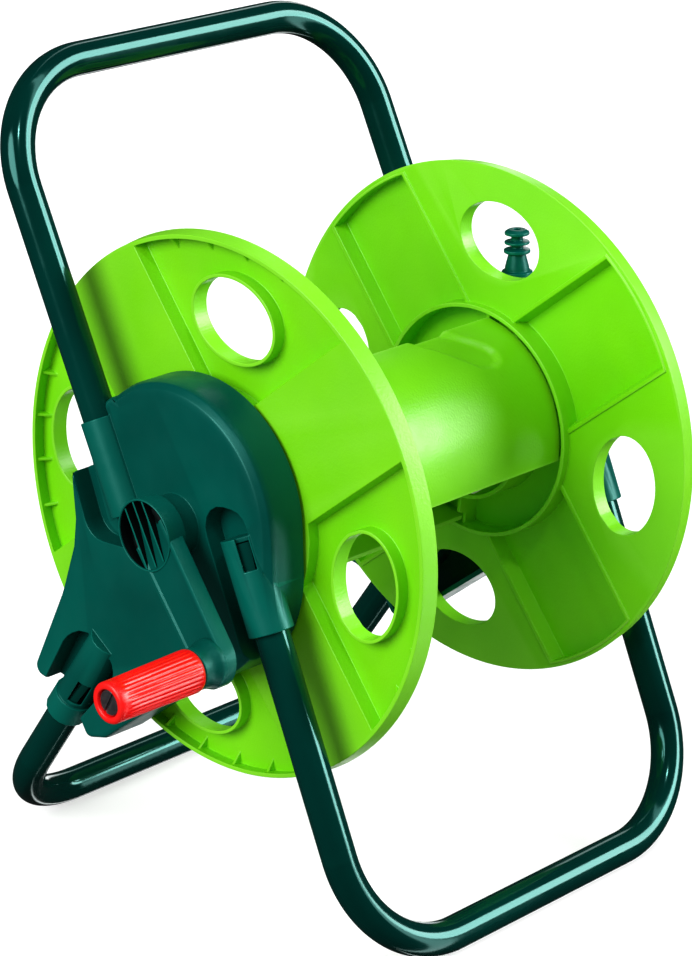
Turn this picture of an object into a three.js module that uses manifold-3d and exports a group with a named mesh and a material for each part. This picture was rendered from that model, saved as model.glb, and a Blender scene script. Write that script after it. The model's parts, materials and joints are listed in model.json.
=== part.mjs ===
// Garden hose reel on a tubular stand. Two flanges and the drum shells between them turn on two
// moulded side plates, which join a carrying handle and two feet of bent steel tube.
// Millimetres, +Z up. X runs along the axle: the crank is at -X, the water inlet at +X, and the
// handle leans back towards +Y. Every piece is drawn about the middle of the axle, and the whole
// reel is then moved so that its origin is the middle of its footprint, on the floor.

import * as THREE from 'three';
import { mergeVertices } from 'three/addons/utils/BufferGeometryUtils.js';
import Module from 'manifold-3d';

const wasm = await Module();
wasm.setup();

// ---- Driving dimensions ---------------------------------------------------------------

const GAP = 0.3;                 // clearance between pieces that touch

// Stand of 19 mm steel tube: each U has a bar at (y, z), and legs at x that lean to their ends.
const TUBE_R = 9.5;
const TUBE_BORE_R = 8.1;
const AXLE_Z = 230;              // axle above the floor
const BAR_Z = TUBE_R - AXLE_Z;   // foot bars' centre line
const HANDLE = { x: 137, y: 138, z: 221, lean: 24.1, bend: 63, end: 2, sleeve: [-3, 46], sleeveR: 11.2 };
const FRONT_FOOT = {
  x: 134, y: -133.8, z: BAR_Z, lean: 21.7, bend: 63, end: 0, sleeve: [-46, 3], sleeveR: 12.5,
};
const REAR_FOOT = {
  x: 133, y: 167, z: BAR_Z, lean: 36.9, bend: 56, end: -97, sleeve: [-137, -84], sleeveR: 11.2,
};
const FRAMES = [HANDLE, FRONT_FOOT, REAR_FOOT];

// Reel flange, from its inner face to its outer edge.
const WALL = 2.5;                // wall of the reel's mouldings
const FLANGE_R = 150;
const FLANGE_DRAFT = 1.5;        // how much wider the rim is at its inner side
const FLANGE_IN = 100;
const FLANGE_OUT = 110;
const PHASE = 8.8;               // the reel's turn at rest, in degrees towards -Y
const SPOKE_HALF = 34;           // half the width of a spoke's raised face
const SPOKE_DRAFT = 2.5;
const HOLE_AT = 110;             // centre of an oval hole, from the axle
const HOLE = [29.5, 22];         // its half length, round the axle, and half height
const GUSSET_ANGLES = [-21, -10.5, 0, 10.5, 21];
const CUP_R = 67;                // ring that the drum shells sit in
const CUP_IN = 95;
const CORE_R = 42;               // inner ring
const CORE_IN = 85;
const HUB_R = 17;
const DRUM_R = 64.5;
const DRUM_END = 97;
const SCREW_RING_R = 57.5;       // where the drum screws run
const SCREW_SEAT = 107.5;        // and where their heads seat
const HUB_POCKET = 95;           // end of the pocket for the crank screw's head, inside the hub

// Side plate: a deep tray, open towards the reel.
const PLATE_WALL = 3;
const PLATE_IN = 112;
const PLATE_OUT = 139;
const CAP = { y: 4, z: 5, r: 71.5, drop: 23, round: 8 };
const WING_ROUND = 3;
const REACH = 260;               // more than the plate's greatest radius
const COLLAR_R = 12.5;           // bead round the mouth of the rear sleeve
const SLEEVE_BORE_R = TUBE_R + GAP;
const POCKET_FLOOR = 127;
const BOSS_R = 17;
const BOSS_OUT = 149.5;          // the crank's boss stands out to just short of its hub

// Axle, crank and grip.
const SHAFT_R = 9;
const DRIVE_END = 98.3;          // inner end of the shafts' six-sided drives
const SPINDLE_BORE_R = 6.2;
const BUSH_R = 12.5;
const BUSH_END = 146;            // the crank's bush stops inside its boss
const CRANK = {
  back: 150.5, face: 163, hub: 20, root: 15, thick: 9.5, y: -57.9, z: -53.3, elbow: 12, rise: 14, boss: 11.2,
};
const GRIP = { from: 186.2, to: 244, r: 11.9, tip: 11.2 };
const PIN_R = 4.6;
const PIN_HEAD_R = 6.9;

// Water inlet.
const INLET = { x: 129, y: -5, r: 7.6, top: 79 };

const SCREW_R = 1.6;
const SCREW_HEAD_R = 3.5;
const CRANK_SCREW_R = 2.6;
const CRANK_SCREW_END = 125;

// ---- Finishes -------------------------------------------------------------------------

const finish = (color, roughness, metalness = 0) => ({ color, roughness, metalness });
const LIME = finish(0x6ee000, 0.45);
const TEAL = finish(0x00554b, 0.42);
const ENAMEL = finish(0x003a36, 0.18, 0.2);
const RED = finish(0xff1414, 0.4);
const STEEL = finish(0x9aa0a3, 0.35, 1);
const ACETAL = finish(0xe8e8e0, 0.4);
const SEAL = finish(0x151515, 0.7);

// ---- Geometry helpers -----------------------------------------------------------------

const radians = THREE.MathUtils.degToRad;
const ARC_STEP = radians(24);    // the most that one side of a rounded corner turns

/** Geometry as a solid that can be joined and cut. */
function solid(geometry) {
  const bare = geometry.clone();
  bare.deleteAttribute('normal');
  bare.deleteAttribute('uv');
  const merged = mergeVertices(bare, 1e-4);
  const corners = merged.index.array;
  const triVerts = [];
  for (let i = 0; i < corners.length; i += 3) {
    const triangle = corners.slice(i, i + 3);
    if (new Set(triangle).size === 3) {
      triVerts.push(...triangle);
    }
  }
  return new wasm.Manifold(new wasm.Mesh({
    numProp: 3,
    vertProperties: Float32Array.from(merged.attributes.position.array),
    triVerts: Uint32Array.from(triVerts),
  }));
}

/** A solid as geometry again. */
function geometryOf(body) {
  const mesh = body.getMesh();
  const geometry = new THREE.BufferGeometry();
  geometry.setAttribute('position', new THREE.BufferAttribute(mesh.vertProperties, 3));
  geometry.setIndex(new THREE.BufferAttribute(mesh.triVerts, 1));
  return geometry;
}

const join = (bodies) => bodies.reduce((all, body) => all.add(body));
const cut = (body, tools) => tools.reduce((rest, tool) => rest.subtract(tool), body);

/** The same piece on the other side of the reel, with its faces still pointing out. */
function mirrored(geometry) {
  const copy = mergeVertices(geometry.clone().scale(-1, 1, 1));
  const index = copy.index.array;
  for (let i = 0; i < index.length; i += 3) {
    [index[i], index[i + 1]] = [index[i + 1], index[i]];
  }
  return copy;
}

/** Geometry drawn in X, Y and Z, turned so that those become three other directions. */
function facing(geometry, x, y, z) {
  const axes = [x, y, z].map((axis) => new THREE.Vector3(...axis));
  return geometry.applyMatrix4(new THREE.Matrix4().makeBasis(...axes));
}

/** An outline drawn in Y and Z, extruded along X. */
function prism(outline, fromX, toX, options = {}) {
  const settings = { depth: toX - fromX, bevelEnabled: false, curveSegments: 10, ...options };
  const geometry = new THREE.ExtrudeGeometry(outline, settings);
  return facing(geometry, [0, 1, 0], [0, 0, 1], [1, 0, 0]).translate(fromX, 0, 0);
}

/** An outline of [x, r] corners turned about the X axis. It ends on the axis or closes on itself. */
function turned(profile, segments = 24) {
  const points = profile.map(([x, r]) => new THREE.Vector2(r, x));
  const ordered = THREE.ShapeUtils.area(points) > 0 ? points : points.reverse();
  return new THREE.LatheGeometry(ordered, segments).rotateZ(-Math.PI / 2);
}

/** A round bar along X. */
function barX(fromX, toX, r, segments = 24) {
  return turned([[fromX, 0], [fromX, r], [toX, r], [toX, 0]], segments);
}

/** A ring along X. */
function ringX(fromX, toX, innerR, outerR, segments = 24) {
  return turned([[fromX, innerR], [fromX, outerR], [toX, outerR], [toX, innerR], [fromX, innerR]], segments);
}

/** A round bar between two points. */
function bar(from, to, r, segments = 20) {
  const span = to.clone().sub(from);
  const up = new THREE.Vector3(0, 1, 0);
  const turn = new THREE.Quaternion().setFromUnitVectors(up, span.clone().normalize());
  const middle = from.clone().add(to).multiplyScalar(0.5);
  const geometry = new THREE.CylinderGeometry(r, r, span.length(), segments);
  return geometry.applyQuaternion(turn).translate(middle.x, middle.y, middle.z);
}

/** A straight-sided outline of [y, z] corners. */
const polygon = (corners) => new THREE.Shape(corners.map(([y, z]) => new THREE.Vector2(y, z)));

/** An outline of [y, z, radius] corners, clockwise, with round corners and its edges moved out by grow. */
function rounded(corners, grow = 0) {
  const points = corners.map(([y, z]) => new THREE.Vector2(y, z));
  const count = points.length;
  const edges = points.map((from, i) => {
    const along = points[(i + 1) % count].clone().sub(from).normalize();
    return { from: from.clone().add(new THREE.Vector2(-along.y, along.x).multiplyScalar(grow)), along };
  });
  const outline = corners.flatMap(([, , r], i) => {
    const before = edges[(i + count - 1) % count];
    const after = edges[i];
    const side = Math.sign(before.along.cross(after.along));
    const reach = after.from.clone().sub(before.from).cross(after.along) / before.along.cross(after.along);
    const corner = before.from.clone().addScaledVector(before.along, reach);
    const bend = Math.acos(before.along.dot(after.along));
    const radius = Math.max(r - side * grow, 0.4);
    const start = corner.clone().addScaledVector(before.along, -radius * Math.tan(bend / 2));
    const inward = new THREE.Vector2(-before.along.y, before.along.x).multiplyScalar(side * radius);
    const middle = inward.add(start);
    const steps = Math.ceil(bend / ARC_STEP);
    return Array.from({ length: steps + 1 }, (_, step) => (
      start.clone().rotateAround(middle, (side * bend * step) / steps)
    ));
  });
  return new THREE.Shape(outline);
}

/** A round outline. */
const circle = (y, z, r) => new THREE.Shape().absarc(y, z, r, 0, Math.PI * 2);

// ---- Steel tubes ----------------------------------------------------------------------

/** A route of straight runs and round bends: one step for a run, several for a bend. */
class BentRoute extends THREE.Curve {
  constructor(corners, bendR, bendSteps) {
    super();
    this.knots = [corners[0]];
    for (let i = 1; i < corners.length - 1; i += 1) {
      this.addBend(corners[i - 1], corners[i], corners[i + 1], bendR, bendSteps);
    }
    this.knots.push(corners[corners.length - 1]);
    this.steps = this.knots.length - 1;
  }

  addBend(before, corner, after, bendR, bendSteps) {
    const back = before.clone().sub(corner).normalize();
    const on = after.clone().sub(corner).normalize();
    const half = back.angleTo(on) / 2;
    const middle = back.clone().add(on).setLength(bendR / Math.sin(half)).add(corner);
    const start = back.clone().setLength(bendR / Math.tan(half)).add(corner).sub(middle);
    const axis = on.clone().cross(back).normalize();
    for (let step = 0; step <= bendSteps; step += 1) {
      const angle = ((Math.PI - 2 * half) * step) / bendSteps;
      this.knots.push(start.clone().applyAxisAngle(axis, angle).add(middle));
    }
  }

  getPoint(t, target = new THREE.Vector3()) {
    const place = Math.min(Math.max(t, 0), 1) * this.steps;
    const index = Math.min(Math.floor(place + 1e-9), this.steps - 1);
    return target.lerpVectors(this.knots[index], this.knots[index + 1], place - index);
  }

  getUtoTmapping(u) {
    return u;
  }
}

/** The point of a leg's centre line at a given height, on the +X side. */
function legPoint(frame, z) {
  const slope = Math.sign(frame.y) * Math.sign(frame.z) * Math.tan(radians(frame.lean));
  return new THREE.Vector3(frame.x, frame.y + slope * (z - frame.z), z);
}

/** A hollow tube along a route. */
function tubeAlong(route, outerR, innerR, sides) {
  const section = circle(0, 0, outerR);
  section.holes.push(new THREE.Path().absarc(0, 0, innerR, 0, Math.PI * 2));
  const options = { steps: route.steps, extrudePath: route, curveSegments: sides / 2 };
  return new THREE.ExtrudeGeometry(section, options);
}

/** One U of the stand, with a screw hole in each leg. */
function standTube(frame) {
  const ends = [legPoint(frame, frame.end), legPoint(frame, frame.z)];
  const across = ends.map((point) => new THREE.Vector3(-point.x, point.y, point.z));
  const route = new BentRoute([across[0], across[1], ends[1], ends[0]], frame.bend, 6);
  const { y, z } = screwPoint(frame);
  const drill = barX(-frame.x, frame.x, SCREW_R + GAP, 8).translate(0, y, z);
  return geometryOf(solid(tubeAlong(route, TUBE_R, TUBE_BORE_R, 14)).subtract(solid(drill)));
}

/** Where a leg's screw goes through its sleeve. */
function screwPoint(frame) {
  const [low, high] = frame.sleeve;
  return legPoint(frame, frame.z > 0 ? low + 18 : high - 24);
}

/** The screw that holds a leg in its sleeve, driven from the reel's side. */
function tubeScrew(frame) {
  const { x, y, z } = screwPoint(frame);
  const headOut = x - frame.sleeveR - GAP;
  const profile = [
    [headOut - 2.2, 0],
    [headOut - 2.2, SCREW_HEAD_R - 0.8],
    [headOut - 1.4, SCREW_HEAD_R],
    [headOut, SCREW_HEAD_R],
    [headOut, SCREW_R],
    [x - 1, SCREW_R],
    [x - 1, 0],
  ];
  return turned(profile, 10).translate(0, y, z);
}

// ---- Side plates ----------------------------------------------------------------------

/** Outline of the plate's leg, from the round cap down to the rear foot. */
function wingOutline(grow) {
  return rounded([
    [-20, 40, 8],
    [50, 60, 4],
    [70, 45, 4],
    [64, 19, 5],
    [85, 10, 5],
    [83, -25, 40],
    [97, -62, 40],
    [126.5, -118, 6],
    [111, -121, 6],
    [88, -137, 6],
    [82, -147, 5],
    [66, -143, 12],
    [-26, -76, 26],
    [-52, -52, 20],
    [-60, -8, 30],
  ], grow);
}

/** The recess beside and below the handle's sleeve. */
function handleRecess(grow) {
  return rounded([
    [69, 30, 1],
    [90, 30, 1],
    [70.5, -24.5, 14],
    [38, -23.5, 3],
    [38, -16.5, 3],
    [53, -17, 12],
  ], grow);
}

/** The long recess beside the front leg's sleeve, open at the plate's lower edge. */
function frontRecess(grow) {
  const { y: topY } = legPoint(FRONT_FOOT, 17.5);
  const { y: footY } = legPoint(FRONT_FOOT, -110);
  return rounded([
    [footY - 2, -110, 1],
    [topY - 11, 17.5, 11],
    [topY + 24, 17.5, 14],
    [footY + 24, -110, 1],
  ], grow);
}

/** The arch over the rear leg's sleeve, open downwards. */
function rearRecess(grow) {
  return rounded([
    [100, -150, 1],
    [52, -100, 12],
    [76, -76, 20],
    [96, -90, 14],
    [128, -140, 1],
  ], grow);
}

/** A slot cut through one side of a leg's sleeve: a block along the leg, from its tube outwards. */
function sleeveSlot(frame, z, length, width) {
  const centre = legPoint(frame, z);
  const up = legPoint(frame, z + 1).sub(centre).normalize();
  const out = new THREE.Vector3(1, -1, 0).addScaledVector(up, up.y).normalize();
  const across = out.clone().cross(up);
  const block = new THREE.BoxGeometry(16, width, length).translate(SLEEVE_BORE_R + 8 - 1, 0, 0);
  const turnedBlock = facing(block, out.toArray(), across.negate().toArray(), up.toArray());
  return solid(turnedBlock.translate(...centre.toArray()));
}

/** Outline of the plate's cap: a half circle, and another some way below it. */
function capOutline(inset) {
  const outline = new THREE.Shape();
  outline.absarc(CAP.y, CAP.z, CAP.r - inset, 0, Math.PI);
  outline.absarc(CAP.y, CAP.z - CAP.drop, CAP.r - inset, Math.PI, Math.PI * 2);
  outline.closePath();
  return outline;
}

/** A slab along X, from a flat back to a front with a rounded edge. */
function slab(outline, back, front, round, steps) {
  const options = {
    bevelEnabled: true,
    bevelThickness: round,
    bevelSize: round,
    bevelOffset: -round,
    bevelSegments: steps,
    curveSegments: 12,
  };
  const both = solid(prism(outline, back, front - round, options));
  return both.subtract(solid(barX(back - round - 1, back, REACH, 8)));
}

/** The plate's cap and leg, or the hollow inside them. */
function plateBody(inset) {
  const back = PLATE_IN - (inset ? 2 : 0);
  const front = PLATE_OUT - inset;
  const cap = slab(capOutline(inset), back, front, CAP.round - inset / 2, 3);
  const wing = inset
    ? solid(prism(wingOutline(-inset), back, front))
    : slab(wingOutline(0), back, front, WING_ROUND, 2);
  return cap.add(wing);
}

/** A leg's sleeve, or with another radius the room for its tube. */
function sleeveBar(frame, r, low, high, sides = 18) {
  return solid(bar(legPoint(frame, low), legPoint(frame, high), r, sides));
}

/** Ribs inside the tray, from the axle boss outwards. */
function trayRibs() {
  const rib = (angle) => {
    const outline = polygon([[-1.2, BOSS_R - 2], [1.2, BOSS_R - 2], [1.2, CAP.r], [-1.2, CAP.r]]);
    return solid(prism(outline, PLATE_IN + 5, PLATE_OUT - 2).rotateX(radians(angle)));
  };
  return join([-10, 62, 118, 152, 205].map(rib));
}

/** One side plate, on the +X side. The crank's plate has a bearing right through it. */
function sidePlate(hasCrank) {
  const recesses = [handleRecess, frontRecess, rearRecess];
  const pocket = (outline) => solid(prism(outline, POCKET_FLOOR, PLATE_OUT + 20));
  const pocketWall = (outline) => solid(prism(outline, POCKET_FLOOR - PLATE_WALL, PLATE_OUT + 20));
  const walls = join(recesses.map((recess) => pocketWall(recess(PLATE_WALL))));
  const hollow = plateBody(PLATE_WALL).subtract(walls);
  const tray = cut(plateBody(0), [...recesses.map((recess) => pocket(recess(0))), hollow]);
  const sleeves = FRAMES.map((frame) => sleeveBar(frame, frame.sleeveR, ...frame.sleeve));
  const collar = sleeveBar(REAR_FOOT, COLLAR_R, REAR_FOOT.sleeve[0], REAR_FOOT.sleeve[0] + 12);
  const ribs = trayRibs().intersect(plateBody(PLATE_WALL - 0.5)).subtract(walls);
  const boss = hasCrank
    ? solid(barX(PLATE_IN, BOSS_OUT, BOSS_R, 32))
    : solid(ringX(PLATE_OUT - 9, PLATE_OUT - 1, 16 + GAP, 19, 32));
  const body = join([tray, ribs, boss, collar, ...sleeves]);
  return geometryOf(cut(body, plateCuts(hasCrank)));
}

/** Everything that is cut from a side plate after its pieces are joined. */
function plateCuts(hasCrank) {
  const bores = FRAMES.map((frame) => {
    const ends = [frame.end, frame.z].sort((a, b) => a - b);
    const slack = frame.z > 0 ? [-0.4, 0] : [0, 0.4];
    return sleeveBar(frame, SLEEVE_BORE_R, ends[0] + slack[0], ends[1] + slack[1], 14);
  });
  const screws = FRAMES.map((frame) => {
    const { x, y, z } = screwPoint(frame);
    return solid(barX(PLATE_IN, x, SCREW_R + GAP, 8).translate(0, y, z));
  });
  const slots = [sleeveSlot(FRONT_FOOT, -5, 19, 7), sleeveSlot(REAR_FOOT, -116, 17, 8)];
  const axle = hasCrank
    ? [
      solid(barX(PLATE_IN - 1, BUSH_END + GAP, BUSH_R + GAP, 24)),
      solid(barX(PLATE_IN, BOSS_OUT + 1, SHAFT_R + GAP, 24)),
    ]
    : [inletRoom()];
  return [...bores, ...screws, ...slots, ...axle];
}

/** The room that the inlet elbow takes up in its plate. */
function inletRoom() {
  const pipe = new THREE.CylinderGeometry(INLET.r + GAP, INLET.r + GAP, 90, 20);
  const standing = facing(pipe, [1, 0, 0], [0, 0, 1], [0, -1, 0]).translate(INLET.x, INLET.y, 45);
  return solid(barX(PLATE_IN - 1, PLATE_OUT - PLATE_WALL, 16 + GAP, 32)).add(solid(standing));
}

// ---- Reel -----------------------------------------------------------------------------

/** Geometry drawn at the top of the reel, copied to several angles round the axle and joined. */
function around(angles, make) {
  return join(angles.map((angle) => solid(make().rotateX(radians(angle)))));
}

const QUARTERS = [0, 90, 180, 270];
const DIAGONALS = [45, 135, 225, 315];
const SHELL_SCREWS = [20, 70, 200, 250];

/** A spoke's section, a trapezium across the reel, extruded outwards from the cup. */
function spoke(half, top) {
  const outline = polygon([
    [-half - SPOKE_DRAFT, FLANGE_IN - 1],
    [half + SPOKE_DRAFT, FLANGE_IN - 1],
    [half, top],
    [-half, top],
  ]);
  const geometry = new THREE.ExtrudeGeometry(outline, { depth: FLANGE_R - 45, bevelEnabled: false });
  return facing(geometry, [0, -1, 0], [1, 0, 0], [0, 0, 1]).translate(0, 0, 50);
}

/** An oval prism at a flange hole. */
function holePrism(grow, fromX, toX) {
  const outline = new THREE.Shape().absellipse(0, HOLE_AT, HOLE[0] + grow, HOLE[1] + grow, 0, Math.PI * 2);
  return prism(outline, fromX, toX, { curveSegments: 10 });
}

/** A small triangular rib between the web and the rim. */
function gusset() {
  const outline = polygon([
    [FLANGE_IN + 1, FLANGE_R - 10],
    [FLANGE_IN + 1, FLANGE_R - 1],
    [FLANGE_OUT - 1, FLANGE_R - 1.5],
  ]);
  const geometry = new THREE.ExtrudeGeometry(outline, { depth: 1.8, bevelEnabled: false });
  return facing(geometry, [1, 0, 0], [0, 0, 1], [0, -1, 0]).translate(0, 0.9, 0);
}

/** A radial rib across the cup floor, lower where the drum shells end. */
function cupRib() {
  const outline = polygon([
    [CUP_IN - 3, HUB_R - 2],
    [CUP_IN - 3, DRUM_R - WALL - 4],
    [DRUM_END + 1, DRUM_R - WALL - 2],
    [DRUM_END + 1, CUP_R + 1],
    [FLANGE_OUT - 1, CUP_R + 1],
    [FLANGE_OUT - 1, HUB_R - 2],
  ]);
  const geometry = new THREE.ExtrudeGeometry(outline, { depth: WALL, bevelEnabled: false });
  return facing(geometry, [1, 0, 0], [0, 0, 1], [0, -1, 0]).translate(0, WALL / 2, 0);
}

/** One flange, on the +X side. */
function flange() {
  const web = FLANGE_IN + WALL;
  const outside = FLANGE_OUT + 1;
  const rimIn = FLANGE_R + FLANGE_DRAFT;
  const rim = turned([
    [FLANGE_IN, CUP_R + 1],
    [FLANGE_IN, rimIn],
    [FLANGE_OUT, FLANGE_R],
    [FLANGE_OUT, FLANGE_R - WALL],
    [web, rimIn - WALL - 0.5],
    [web, CUP_R + 1],
    [FLANGE_IN, CUP_R + 1],
  ], 64);
  const cup = turned([
    [CUP_IN, CUP_R],
    [CUP_IN, CUP_R + WALL],
    [FLANGE_OUT, CUP_R + WALL],
    [FLANGE_OUT, HUB_R - 2],
    [FLANGE_OUT - WALL, HUB_R - 2],
    [FLANGE_OUT - WALL, CUP_R],
    [CUP_IN, CUP_R],
  ], 40);
  const core = ringX(CORE_IN, FLANGE_OUT - 1, CORE_R, CORE_R + WALL, 24);
  const hub = barX(CORE_IN, FLANGE_OUT, HUB_R, 20);
  const screwPad = () => barX(DRUM_END + 2, FLANGE_OUT, 6, 10).translate(0, 0, SCREW_RING_R);
  const screwHole = (from, r, sides) => barX(from, outside, r + GAP, sides).translate(0, 0, SCREW_RING_R);
  const cupRoom = (r) => solid(barX(CORE_IN, outside, r, 40));
  const inRim = (bodies, r) => bodies.intersect(solid(barX(FLANGE_IN - 1, FLANGE_OUT, r, 64)));
  const spokes = inRim(around(DIAGONALS, () => spoke(SPOKE_HALF, FLANGE_OUT)), FLANGE_R - 1);
  const channel = () => spoke(SPOKE_HALF - WALL, FLANGE_OUT - WALL);
  const channels = inRim(around(DIAGONALS, channel), FLANGE_R - WALL);
  const body = join([
    solid(rim),
    solid(cup),
    solid(core),
    solid(hub),
    around(QUARTERS, cupRib),
    around(SHELL_SCREWS, screwPad),
    spokes.subtract(cupRoom(CUP_R + 1)),
    around(QUARTERS, () => holePrism(2, FLANGE_IN + 1, FLANGE_OUT)),
    around(QUARTERS.flatMap((angle) => GUSSET_ANGLES.map((step) => angle + step)), gusset),
  ]);
  const finished = cut(body, [
    channels.subtract(cupRoom(CUP_R + WALL)),
    around(QUARTERS, () => holePrism(0, FLANGE_IN - 1, outside)),
    around(SHELL_SCREWS, () => screwHole(CUP_IN, SCREW_R, 8)),
    around(SHELL_SCREWS, () => screwHole(SCREW_SEAT, SCREW_HEAD_R, 10)),
    solid(barX(DRIVE_END - GAP, outside, SHAFT_R + GAP, 6)),
    solid(barX(CORE_IN - 1, HUB_POCKET, SHAFT_R + GAP, 12)),
    solid(barX(HUB_POCKET - 1, DRIVE_END, SPINDLE_BORE_R, 12)),
  ]);
  return geometryOf(finished).rotateX(radians(PHASE));
}

/** A quarter shell of the drum, with screw bosses at its ends. It starts at an angle from the top. */
function drumShell(startAngle, screwAngles) {
  const from = radians(90 + startAngle + 0.7);
  const to = radians(90 + startAngle + 91);
  const outline = new THREE.Shape();
  outline.absarc(0, 0, DRUM_R, from, to);
  outline.absarc(0, 0, DRUM_R - WALL, to, from, true);
  outline.closePath();
  const shell = solid(prism(outline, -DRUM_END, DRUM_END, { curveSegments: 8 }));
  const place = (geometry, angle) => geometry.translate(0, 0, SCREW_RING_R).rotateX(radians(angle));
  const bosses = screwAngles.map((angle) => solid(place(barX(-DRUM_END, DRUM_END, 5.2, 12), angle)));
  const middle = solid(barX(-DRUM_END + 22, DRUM_END - 22, DRUM_R - WALL, 32));
  const bore = () => barX(-DRUM_END - 1, DRUM_END + 1, SCREW_R + GAP, 8);
  const bores = screwAngles.map((angle) => solid(place(bore(), angle)));
  const lugs = join(bosses).subtract(middle);
  return geometryOf(cut(shell.add(lugs), bores)).rotateX(radians(PHASE));
}

/** A screw through the flange into a shell's boss, on the +X side. */
function drumScrew(angle) {
  const profile = [
    [DRUM_END - 9, 0],
    [DRUM_END - 9, SCREW_R],
    [SCREW_SEAT + GAP, SCREW_R],
    [SCREW_SEAT + GAP, SCREW_HEAD_R],
    [FLANGE_OUT - 0.2, SCREW_HEAD_R - 0.6],
    [FLANGE_OUT - 0.2, 0],
  ];
  return turned(profile, 10).translate(0, 0, SCREW_RING_R).rotateX(radians(angle + PHASE));
}

// ---- Crank and grip, on the -X side ------------------------------------------------------

/** The crank: a shaft with a six-sided end, a round hub, and an arm that rises towards the grip. */
function crankArm() {
  const reach = Math.hypot(CRANK.y, CRANK.z);
  const side = Math.asin((CRANK.root - CRANK.elbow) / reach);
  const outline = new THREE.Shape();
  outline.absarc(0, 0, CRANK.root, Math.PI / 2 - side, (3 * Math.PI) / 2 + side);
  outline.absarc(reach, 0, CRANK.elbow, -Math.PI / 2 + side, Math.PI / 2 - side);
  outline.closePath();
  const options = { depth: CRANK.thick, curveSegments: 10, bevelEnabled: false };
  const flat = new THREE.ExtrudeGeometry(outline, options);
  const rise = new THREE.Matrix4().set(1, 0, 0, 0, 0, 1, 0, 0, CRANK.rise / reach, 0, 1, 0, 0, 0, 0, 1);
  const along = [0, CRANK.y / reach, CRANK.z / reach];
  const across = [0, CRANK.z / reach, -CRANK.y / reach];
  const arm = facing(flat.applyMatrix4(rise), along, across, [-1, 0, 0]).translate(-CRANK.back, 0, 0);
  const reelSide = solid(barX(-CRANK.back, -CRANK.back + 20, CRANK.hub + 5, 8));
  const elbowBack = -CRANK.back - CRANK.rise;
  const boss = barX(-GRIP.from + GAP, elbowBack, CRANK.boss, 28).translate(0, CRANK.y, CRANK.z);
  const body = join([
    solid(arm).subtract(reelSide),
    solid(barX(-CRANK.face, -CRANK.back, CRANK.hub, 32)),
    solid(boss),
    solid(barX(-CRANK.back - 1, -FLANGE_OUT - GAP, SHAFT_R, 24)),
    solid(barX(-FLANGE_OUT - 1, -DRIVE_END, SHAFT_R, 6).rotateX(radians(PHASE))),
  ]);
  const pinRoom = barX(-GRIP.from - 1, elbowBack + 4, PIN_R + GAP, 20).translate(0, CRANK.y, CRANK.z);
  const screwRoom = barX(-CRANK_SCREW_END - 7, -HUB_POCKET, CRANK_SCREW_R + GAP, 10);
  return geometryOf(cut(body, [solid(screwRoom), solid(pinRoom)]));
}

/** The pin that the grip turns on, with a wide slotted head. */
function gripPin() {
  const headFrom = GRIP.to - 3.8;
  const profile = [
    [-GRIP.to + 1.3, 0],
    [-GRIP.to + 1.3, PIN_HEAD_R - 0.5],
    [-GRIP.to + 1.8, PIN_HEAD_R],
    [-headFrom, PIN_HEAD_R],
    [-headFrom, PIN_R],
    [-CRANK.back - CRANK.rise + 2, PIN_R],
    [-CRANK.back - CRANK.rise + 2, 0],
  ];
  const slot = prism(polygon([[-0.8, -9], [0.8, -9], [0.8, 9], [-0.8, 9]]), -GRIP.to, -GRIP.to + 2.2);
  const body = solid(turned(profile, 20)).subtract(solid(slot.rotateX(radians(30))));
  return geometryOf(body).translate(0, CRANK.y, CRANK.z);
}

/** The red grip, a sleeve that turns on its pin. */
function crankGrip() {
  const seat = GRIP.to - 3.8 - GAP;
  const profile = [
    [-GRIP.from, PIN_R + GAP],
    [-GRIP.from, GRIP.r - 1],
    [-GRIP.from - 1, GRIP.r],
    [-GRIP.to + 2, GRIP.tip],
    [-GRIP.to, GRIP.tip - 1.6],
    [-GRIP.to, PIN_HEAD_R + GAP],
    [-seat, PIN_HEAD_R + GAP],
    [-seat, PIN_R + GAP],
    [-GRIP.from, PIN_R + GAP],
  ];
  return turned(profile, 28).translate(0, CRANK.y, CRANK.z);
}

/** The bush that the crank's shaft or the water spindle turns in, on the +X side. */
function bushing(fromX, toX) {
  const r = SHAFT_R + GAP;
  return turned([[fromX, r], [fromX, BUSH_R], [toX, BUSH_R], [toX, r], [fromX, r]], 24);
}

/** The screw and washer that hold the crank's shaft to the flange, driven from inside the drum. */
function crankScrew() {
  const profile = [
    [-HUB_POCKET + 5, 0],
    [-HUB_POCKET + 5, 5],
    [-HUB_POCKET + 2, 5.4],
    [-HUB_POCKET + 2, CRANK_SCREW_R],
    [-CRANK_SCREW_END, CRANK_SCREW_R],
    [-CRANK_SCREW_END, 0],
  ];
  return turned(profile, 16);
}

const crankWasher = () => ringX(-HUB_POCKET + GAP, -HUB_POCKET + 2 - GAP, CRANK_SCREW_R + GAP, 8.4, 20);

// ---- Water way, on the +X side -----------------------------------------------------------

/** The hollow spindle that carries water into the turning reel, with two seal grooves. */
function waterSpindle() {
  const bore = SPINDLE_BORE_R;
  const grooved = turned([
    [FLANGE_OUT + GAP, bore],
    [FLANGE_OUT + GAP, SHAFT_R],
    [125.5, SHAFT_R],
    [125.5, 7.7],
    [127.5, 7.7],
    [127.5, SHAFT_R],
    [129, SHAFT_R],
    [129, 7.7],
    [131, 7.7],
    [131, SHAFT_R],
    [132.5, SHAFT_R],
    [132.5, bore],
    [FLANGE_OUT + GAP, bore],
  ], 24);
  const drive = solid(barX(DRIVE_END, FLANGE_OUT + 1, SHAFT_R, 6).rotateX(radians(PHASE)));
  return geometryOf(solid(grooved).add(drive).subtract(solid(barX(90, 112, bore, 16))));
}

const spindleSeal = (fromX) => ringX(fromX + 0.2, fromX + 1.8, 7.9, 9.45, 24);

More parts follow.
